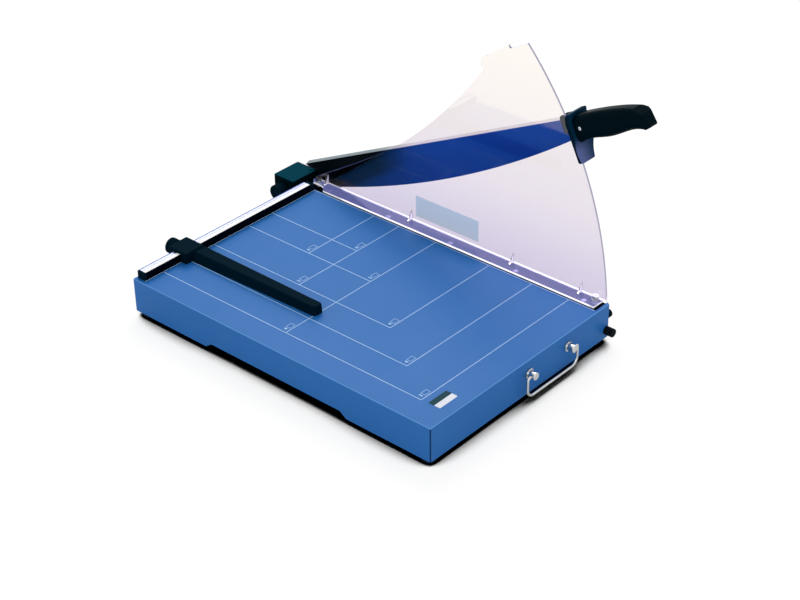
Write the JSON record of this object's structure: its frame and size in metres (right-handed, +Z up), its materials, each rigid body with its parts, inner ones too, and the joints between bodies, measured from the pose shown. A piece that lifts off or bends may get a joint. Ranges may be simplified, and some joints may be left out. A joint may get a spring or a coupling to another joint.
{
  "type": "guillotine paper cutter",
  "caption": "Lever guillotine paper cutter: steel bed with format lines, scale fence with sliding stop, curved blade on a handle, clear blade guard with paper clamp, carrying bail.",
  "frame": {"origin": "on the ground under the middle of the whole cutter's outline; the base's own middle is at x = -9.8 mm, y = +3.6 mm", "axes": "+Z up, +Y from the user towards the blade pivot, +X towards the blade side; the cutting line is the plane x = +0.1562 m"},
  "size_m": [0.3516, 0.5612, 0.3574],
  "materials": {
    "base_blue": "satin",
    "plain_steel": "satin",
    "rubber_black": "matte",
    "bed_black": "satin",
    "screw_steel": "polished",
    "knife_steel": "ground",
    "fence_black": "satin",
    "scale_white": "satin",
    "guide_steel": "brushed",
    "moulded_black": "satin",
    "pad_brass": "plain",
    "pivot_black": "satin",
    "bright_plate": "polished",
    "blade_dark": "satin",
    "handle_black": "gloss",
    "clear_guard": "clear plastic",
    "film_blue": "gloss",
    "bright_chrome": "polished",
    "plate_bare": "satin"
  },
  "bodies": {
    "base": {"bail_posts": "bright_chrome", "base_housing": "base_blue", "bed_bar": "bed_black", "bed_knife": "knife_steel", "bed_nuts": "plain_steel", "bed_screws": "screw_steel", "block_cap_screw": "pivot_black", "block_screws": "plain_steel", "bumper_screw": "plain_steel", "catch_screw": "screw_steel", "end_plate": "bright_plate", "fence_cap": "moulded_black", "fence_end_block": "moulded_black", "fence_rail": "fence_black", "fence_screws": "plain_steel", "foot_nuts": "plain_steel", "foot_screws": "plain_steel", "guide_screws": "screw_steel", "guide_springs": "plain_steel", "guide_strip": "guide_steel", "handle_bumper": "rubber_black", "knife_screws": "screw_steel", "name_plate": "plate_bare", "pivot_block": "pivot_black", "pivot_bush": "pad_brass", "post_nuts": "plain_steel", "rubber_feet": "rubber_black", "scale_strip": "scale_white", "stiffeners": "plain_steel", "thrust_washer": "pad_brass"},
    "blade_lever": {"blade": "blade_dark", "blade_washer": "plain_steel", "pivot_bolt": "screw_steel", "disc_springs": "plain_steel", "pivot_nut": "plain_steel", "hand_guard": "handle_black", "grip": "handle_black", "grip_screw": "screw_steel"},
    "paper_stop": {"stop_head": "moulded_black", "stop_arm": "moulded_black", "stop_pad": "pad_brass"},
    "stop_clamp_knob": {"stop_knob": "moulded_black", "stop_stud": "plain_steel"},
    "brake_knob": {"brake_knob": "moulded_black", "brake_stud": "plain_steel"},
    "carry_handle": {"carry_bail": "bright_chrome"},
    "paper_clamp": {"guard_sheet": "clear_guard", "guard_film": "film_blue", "guide_washers": "screw_steel"},
    "side_catch": {"catch_knob": "moulded_black", "catch_tab": "plain_steel"}
  },
  "joints": [
    {"name": "blade_hinge", "type": "hinge", "parent": "base", "child": "blade_lever", "pos_m": [0.1562, 0.2536, 0.026], "axis": [1, 0, 0], "range_deg": [-14, 25]},
    {"name": "stop_slide", "type": "slide", "parent": "base", "child": "paper_stop", "axis": [1, 0, 0], "range_m": [-0.056, 0.177]},
    {"name": "stop_knob_turn", "type": "hinge", "parent": "paper_stop", "child": "stop_clamp_knob", "pos_m": [-0.0952, 0.2559, 0.05865], "axis": [0, 1, 0], "range_deg": [-90, 90]},
    {"name": "brake_knob_turn", "type": "hinge", "parent": "base", "child": "brake_knob", "pos_m": [0.1012, 0.2641, 0.0515], "axis": [1, 0, 0], "range_deg": [-180, 180]},
    {"name": "carry_bail_swing", "type": "hinge", "parent": "base", "child": "carry_handle", "pos_m": [0.0348, -0.2449, 0.0365], "axis": [-1, 0, 0], "range_deg": [-8, 170]},
    {"name": "clamp_press", "type": "slide", "parent": "base", "child": "paper_clamp", "axis": [0, 0, -1], "range_m": [0, 0.0026], "stiffness_N_per_m": 3000, "springref_m": -0.004, "deforming": ["guide_springs"]},
    {"name": "side_catch_turn", "type": "hinge", "parent": "base", "child": "side_catch", "pos_m": [0.1587, -0.2319, 0.0355], "axis": [-1, 0, 0], "range_deg": [0, 90]}
  ]
}
